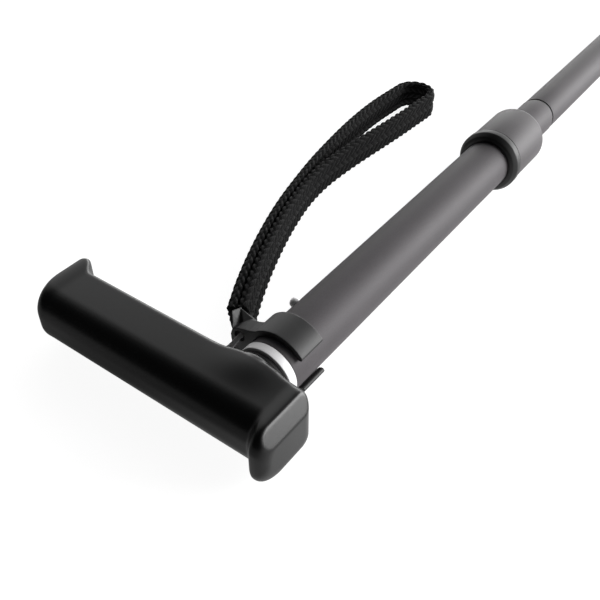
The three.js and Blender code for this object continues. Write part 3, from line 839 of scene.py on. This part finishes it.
# ---------------------------------------------------------------- tip
TIP_START, TIP_END, TIP_R = 786, 836, 14.8
tip_bore = LOWER_R + GAP
washer_end = LOWER_END + 2.1 + 1.9
tread = []
groove = TIP_END - 0.8
for r in np.arange(13.0, 7.6, -1.35):
    tread += [(TIP_END, r, 0.15), (groove, r - 0.25, 0.1), (groove, r - 0.6, 0.1), (TIP_END, r - 0.85, 0.15)]
make("ribbed_tip", *lathe(rounded([
    (TIP_START, tip_bore, 0.3), (washer_end, tip_bore, 0), (washer_end, 0, 0), (TIP_END - 2.5, 0, 0),
    (TIP_END - 2.5, 6, 0.4), (TIP_END, 7, 0.3), *reversed(tread), (TIP_END, TIP_R - 0.9, 0.2),
    (TIP_END - 1, TIP_R, 0.4), (TIP_END - 9, TIP_R, 1.2),
    (TIP_END - 13, 12.6, 1), (TIP_END - 15, 12.6, 0.3), (TIP_END - 16, 13.2, 0.4), (TIP_END - 18, 13.2, 0.4),
    (TIP_END - 19, 12.3, 0.4), (TIP_START + 3, 11.4, 0.4), (TIP_START, 11, 0.6),
])), RUBBER, "lower", "tip_rubber", ["rubber_tip"])

# ---------------------------------------------------------------- clip
CLIP_NEAR, CLIP_FAR, CLIP_IN, CLIP_OUT, ARM_FAR = 3.2, 15.2, 11.3, 13.4, 9.2
LIP_TOP, LIP_LOW = 141, 211
EYE_R = 2.3


def prism(outline, x0, x1):
    """A closed outline given in (y, z), extruded along the shaft."""
    outline = np.asarray(outline, float)
    n = len(outline)
    points = np.vstack([np.column_stack([np.full(n, x), outline]) for x in (x0, x1)])
    faces = [list(range(n)), list(range(n, 2 * n))]
    faces += [[i, (i + 1) % n, n + (i + 1) % n, n + i] for i in range(n)]
    return points, faces


def hull(points):
    bm = bmesh.new()
    for p in points:
        bm.verts.new(p)
    result = bmesh.ops.convex_hull(bm, input=bm.verts)
    unused = {v for v in result["geom_interior"] + result["geom_unused"] if isinstance(v, bmesh.types.BMVert)}
    bmesh.ops.delete(bm, geom=list(unused), context="VERTS")
    bm.verts.index_update()
    got = [tuple(v.co) for v in bm.verts], [[v.index for v in f.verts] for f in bm.faces]
    bm.free()
    return got


def polar(r, degrees):
    a = math.radians(degrees)
    return r * math.cos(a), r * math.sin(a)


def clip():
    sweep = LIP_TOP - LIP_LOW + 360
    # The inner side is cut clean by the bore, so it starts out thicker
    outer = [polar(CLIP_OUT, LIP_LOW - 360 + sweep * i / 96) for i in range(97)]
    inner = [polar(CLIP_IN - 0.8, LIP_TOP - sweep * i / 96) for i in range(97)]
    parts = [prism(outer + inner, CLIP_NEAR, CLIP_FAR)]
    for angle, r, radius in ((LIP_LOW, 12.55, 1), (LIP_TOP, 12.35, 1.05)):
        y, z = polar(r, angle)
        circle = [(y + polar(radius, q)[0], z + polar(radius, q)[1]) for q in range(0, 360, 15)]
        parts.append(prism(circle, CLIP_NEAR, CLIP_FAR))
    arm = [
        (9, 9.85), (10.4, 9.2), (12, 8.5), (14.5, 7.9), (17.7, 6.8), (19.8, 5.1), (20.6, 2.4), (20.2, -2),
        (18, -4.6), (14, -6), (9, -7.5),
    ]
    parts.append(prism(arm, CLIP_NEAR, ARM_FAR))
    # The arm's end turns up into a wall that faces the shaft, with a ramp beside it
    wall = [
        (7.2, 22.8, 9.2), (11.5, 22.2, 8), (10.9, 21.4, 7), (7, 19, 5.4), (3.4, 19, 5.4), (3.2, 18.9, 5.2),
        (3.2, 19.4, 6),
    ]
    parts.append(hull(wall + [(x + 1.1, y + 0.8, z - 1.2) for x, y, z in wall]))
    parts.append(hull([
        (7.4, 19.6, 4.7), (10.8, 21.2, 7.1), (11.2, 21.9, 8), (10.2, 14, 7.2), (9.2, 13.2, 7.4), (10, 20.6, 3),
        (9.2, 14, 4), (4.2, 20, 3), (5, 15.5, 6.4), (9.7, 14.5, 3.6),
    ]))
    piece = joined("moulded_clip", parts)
    melted(piece, 0.17, 5)
    cut(piece, scrap("bore", *lathe([[-5, 0], [-5, CLIP_IN], [30, CLIP_IN], [30, 0]], 144, closed=False)))
    p, f = lathe([[0, 0], [0, EYE_R], [20, EYE_R], [20, 0]], 64, closed=False)
    cut(piece, scrap("eye", p + [-2, EYE[1], EYE[2]], f))
    return finished(piece, CLIP, "clip", ["strap_clip"], sharp=32)


clip()

# ---------------------------------------------------------------- inner CAD nodes
for node, material in {
    "handle_insert": BRASS,
    "handle_stud": STEEL,
    "tube_plug": ALUMINIUM,
    "button_spring": STEEL,
    "lock_collet": PLASTIC,
    "guide_bush": PLASTIC,
    "joint_spigot": ALUMINIUM,
    "tube_end_plug": RUBBER,
    "tip_washer": STEEL,
}.items():
    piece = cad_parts[node]
    for k in range(len(piece.material_slots)):
        piece.material_slots[k].material = material

# ---------------------------------------------------------------- studio
FLOOR_SIZE = 12.0
FLOOR_WHITE = 0.93  # emission seen by the camera
FLOOR_LIGHT = (0.13, 0.9)  # emission that lights the cane, from the palm's side to the shaft's side
FLOOR_BRIGHTER = (0.9, -0.43, 0)  # the direction in which it rises
FLOOR_RISE = (-0.4, -0.33)  # where along it
WORLD_DARK, WORLD_FAR, WORLD_PATCH = 0.03, 1.1, 5.0


def stage_floor():
    """White to the camera. What lights the cane is dim on the palm's side and bright on the shaft's side."""
    material, tree, shader = node_tree("floor_white")
    shader.inputs["Base Color"].default_value = (0.3, 0.3, 0.3, 1)
    shader.inputs["Roughness"].default_value = 0.9
    shader.inputs["Specular IOR Level"].default_value = 0.0
    shader.inputs["Emission Color"].default_value = (1, 1, 1, 1)
    place = add(tree, "ShaderNodeTexCoord")
    along = add(tree, "ShaderNodeVectorMath", operation="DOT_PRODUCT")
    tree.links.new(place.outputs["Object"], along.inputs[0])
    along.inputs[1].default_value = FLOOR_BRIGHTER
    glow = remap(tree, along.outputs["Value"], *FLOOR_LIGHT, *FLOOR_RISE)
    path = add(tree, "ShaderNodeLightPath")
    pick = add(tree, "ShaderNodeMix", data_type="FLOAT")
    tree.links.new(path.outputs["Is Camera Ray"], pick.inputs["Factor"])
    tree.links.new(glow, pick.inputs["A"])
    pick.inputs["B"].default_value = FLOOR_WHITE
    tree.links.new(pick.outputs["Result"], shader.inputs["Emission Strength"])
    mesh = bpy.data.meshes.new("studio_floor")
    h = FLOOR_SIZE / 2
    mesh.from_pydata([(-h, -h, 0), (h, -h, 0), (h, h, 0), (-h, h, 0)], [], [(0, 1, 2, 3)])
    floor = bpy.data.objects.new("studio_floor", mesh)
    bpy.context.scene.collection.objects.link(floor)
    floor.data.materials.append(material)
    floor.location.z = CAD_BOX[0].z


def studio_world():
    """White round the horizon on the far side, dark overhead and behind the camera's side."""
    world = bpy.data.worlds.new("studio")
    bpy.context.scene.world = world
    world.use_nodes = True
    tree = world.node_tree
    tree.nodes.clear()
    place = add(tree, "ShaderNodeTexCoord")
    split = add(tree, "ShaderNodeSeparateXYZ")
    tree.links.new(place.outputs["Generated"], split.inputs[0])
    far = remap(tree, split.outputs["X"], 0, 1, -0.1, 0.5)
    low = remap(tree, split.outputs["Z"], 1, 0, 0.68, 0.86)
    both = add(tree, "ShaderNodeMath", operation="MULTIPLY")
    tree.links.new(far, both.inputs[0])
    tree.links.new(low, both.inputs[1])
    level = add(tree, "ShaderNodeMath", operation="MULTIPLY_ADD")
    tree.links.new(both.outputs[0], level.inputs[0])
    level.inputs[1].default_value = WORLD_FAR
    level.inputs[2].default_value = WORLD_DARK
    # A brighter patch low on the far side, which edges the handle's shaft side
    ahead = remap(tree, split.outputs["X"], 0, 1, 0.66, 0.86)
    near_horizon = remap(tree, split.outputs["Z"], 1, 0, 0.2, 0.5)
    patch = add(tree, "ShaderNodeMath", operation="MULTIPLY")
    tree.links.new(ahead, patch.inputs[0])
    tree.links.new(near_horizon, patch.inputs[1])
    more = add(tree, "ShaderNodeMath", operation="MULTIPLY_ADD")
    tree.links.new(patch.outputs[0], more.inputs[0])
    more.inputs[1].default_value = WORLD_PATCH
    tree.links.new(level.outputs[0], more.inputs[2])
    path = add(tree, "ShaderNodeLightPath")
    pick = add(tree, "ShaderNodeMix", data_type="FLOAT")
    tree.links.new(path.outputs["Is Camera Ray"], pick.inputs["Factor"])
    tree.links.new(more.outputs[0], pick.inputs["A"])
    pick.inputs["B"].default_value = 1.0
    background = add(tree, "ShaderNodeBackground", Color=(1, 1, 1, 1))
    tree.links.new(pick.outputs["Result"], background.inputs["Strength"])
    out = add(tree, "ShaderNodeOutputWorld")
    tree.links.new(background.outputs[0], out.inputs["Surface"])


def softbox(name, towards, distance, size, radiance, aim=(-0.25, 0.02, 0.02)):
    """A rectangular area light in a direction from a point near the handle, as bright as a surface of the radiance."""
    light = bpy.data.lights.new(name, "AREA")
    light.shape = "RECTANGLE"
    light.size, light.size_y = size
    light.energy = radiance * math.pi * size[0] * size[1]
    piece = bpy.data.objects.new(name, light)
    bpy.context.scene.collection.objects.link(piece)
    d = Vector(towards).normalized()
    piece.location = Vector(aim) + d * distance
    piece.rotation_mode = "QUATERNION"
    piece.rotation_quaternion = d.to_track_quat("Z", "Y")


stage_floor()
studio_world()
softbox("key_right", (0.60, -0.77, 0.25), 1.6, (1.2, 0.76), 13.0)
bpy.context.scene.view_settings.view_transform = "Standard"
